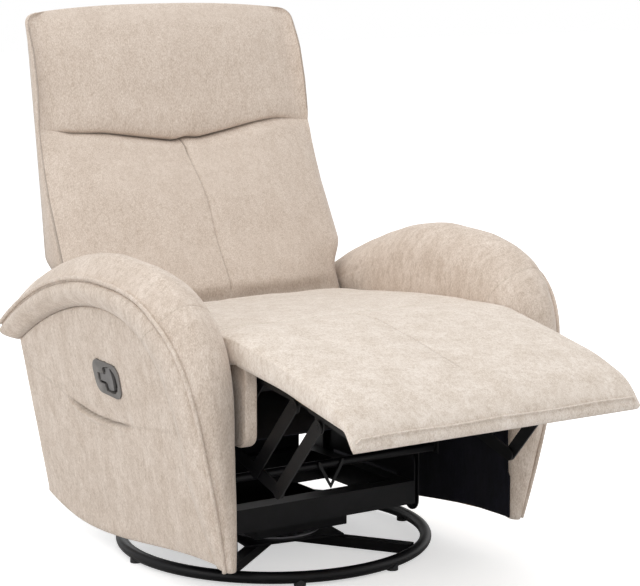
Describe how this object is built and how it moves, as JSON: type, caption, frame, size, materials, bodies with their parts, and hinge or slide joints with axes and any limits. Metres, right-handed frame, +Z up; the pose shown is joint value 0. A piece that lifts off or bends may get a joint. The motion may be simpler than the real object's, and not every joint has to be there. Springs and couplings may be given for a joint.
{
  "type": "swivel glider recliner",
  "caption": "Upholstered armchair that turns on a round floor ring, glides on hanging links, and has a folding leg rest, a reclining back and a release lever in one arm.",
  "frame": {"origin": "on the floor, on the axis that the seat turns about", "axes": "+Z up, -Y the way the sitter faces, -X the side of the arm with the lever"},
  "size_m": [0.8386, 1.132, 1],
  "materials": {
    "black_paint": "satin black powder coat",
    "dark_steel": "plain rolled steel",
    "link_paint": "semi-gloss black",
    "glide_plastic": "moulded black",
    "beige_fabric": "beige chenille weave",
    "black_lining": "thin black lining cloth",
    "frame_wood": "raw plywood",
    "spring_wire": "drawn wire",
    "grey_plastic": "grained dark grey",
    "cable_jacket": "black jacket"
  },
  "bodies": {
    "base": {"base_ring": "black_paint", "base_arms": "black_paint", "floor_glides": "glide_plastic", "base_plate": "black_paint", "lower_race": "dark_steel", "bearing_balls": "dark_steel", "swivel_rivet": "dark_steel"},
    "turntable": {"upper_race": "dark_steel", "glider_base": "black_paint", "glider_posts": "black_paint"},
    "front_links": {"front_glide_links": "link_paint"},
    "rear_links": {"rear_glide_links": "link_paint"},
    "carriage": {"carriage_hangers": "black_paint", "carriage_rails": "black_paint", "cross_tubes": "black_paint", "spring_hook": "link_paint", "side_plates": "link_paint", "arm_brackets": "black_paint", "seat_rails": "frame_wood", "seat_cross_rails": "frame_wood", "seat_springs": "spring_wire", "dust_cloth": "black_lining", "seat_side_panels": "beige_fabric", "seat_cushion": "beige_fabric", "arm_frame_right": "frame_wood", "arm_frame_left": "frame_wood", "arm_side_right": "beige_fabric", "arm_side_left": "beige_fabric", "arm_band_right": "beige_fabric", "arm_band_left": "beige_fabric", "arm_roll_right": "beige_fabric", "arm_roll_left": "beige_fabric", "arm_piping_right": "beige_fabric", "arm_piping_left": "beige_fabric", "arm_inner_covers": "beige_fabric", "arm_linings": "black_lining", "arm_rear_covers": "beige_fabric", "lever_bezel": "grey_plastic", "release_cable": "cable_jacket"},
    "back": {"back_brackets": "black_paint", "back_frame": "frame_wood", "back_springs": "spring_wire", "back_cushion": "beige_fabric", "back_cover": "beige_fabric"},
    "legrest": {"legrest_brackets": "link_paint", "legrest_board": "frame_wood", "legrest_pad": "beige_fabric"},
    "swing_arms": {"drive_links": "link_paint"},
    "ottoman_front": {"front_ottoman_links": "link_paint"},
    "ottoman_rear": {"rear_ottoman_links": "link_paint"},
    "lever": {"release_lever": "grey_plastic"},
    "latch": {"latch_pawl": "link_paint"}
  },
  "joints": [
    {"name": "swivel", "type": "hinge", "parent": "base", "child": "turntable", "pos_m": [0, 0, 0.08], "axis": [0, 0, 1], "continuous": true},
    {"name": "glide", "type": "hinge", "parent": "turntable", "child": "front_links", "pos_m": [0, -0.155, 0.16], "axis": [1, 0, 0], "range_deg": [-15, 15]},
    {"name": "glide_rear", "type": "hinge", "parent": "turntable", "child": "rear_links", "pos_m": [0, 0.155, 0.16], "axis": [1, 0, 0], "range_deg": [-15.5, 15.5]},
    {"name": "glide_level", "type": "hinge", "parent": "front_links", "child": "carriage", "pos_m": [0, -0.155, 0.088], "axis": [1, 0, 0], "range_deg": [-15.5, 15.5]},
    {"name": "recline", "type": "hinge", "parent": "carriage", "child": "back", "pos_m": [0, 0.165, 0.35], "axis": [-1, 0, 0], "range_deg": [-10, 24]},
    {"name": "legrest_fold", "type": "hinge", "parent": "carriage", "child": "legrest", "pos_m": [0, -0.345, 0.408], "axis": [1, 0, 0], "range_deg": [0, 75]},
    {"name": "swing_arm_turn", "type": "hinge", "parent": "carriage", "child": "swing_arms", "pos_m": [0, -0.225, 0.273], "axis": [1, 0, 0], "range_deg": [-1, 76]},
    {"name": "front_ottoman_link_turn", "type": "hinge", "parent": "swing_arms", "child": "ottoman_front", "pos_m": [0, -0.405, 0.221], "axis": [1, 0, 0], "range_deg": [-76, 1]},
    {"name": "rear_ottoman_link_turn", "type": "hinge", "parent": "swing_arms", "child": "ottoman_rear", "pos_m": [0, -0.333, 0.2418], "axis": [1, 0, 0], "range_deg": [-76, 1]},
    {"name": "lever_pull", "type": "hinge", "parent": "carriage", "child": "lever", "pos_m": [-0.36195, -0.01398, 0.36735], "axis": [0.1791, 0, -0.9838], "range_deg": [0, 16], "stiffness_Nm_per_rad": 0.4},
    {"name": "latch_lift", "type": "hinge", "parent": "carriage", "child": "latch", "pos_m": [-0.234, -0.12, 0.24], "axis": [-1, 0, 0], "range_deg": [-0.5, 16.5]}
  ],
  "couplings": [
    {"joint": "glide_rear", "follows": "glide", "ratio": 1},
    {"joint": "glide_level", "follows": "glide", "ratio": -1},
    {"joint": "swing_arm_turn", "follows": "legrest_fold", "ratio": 1},
    {"joint": "front_ottoman_link_turn", "follows": "legrest_fold", "ratio": -1},
    {"joint": "rear_ottoman_link_turn", "follows": "legrest_fold", "ratio": -1},
    {"joint": "latch_lift", "follows": "lever_pull", "ratio": 1}
  ]
}
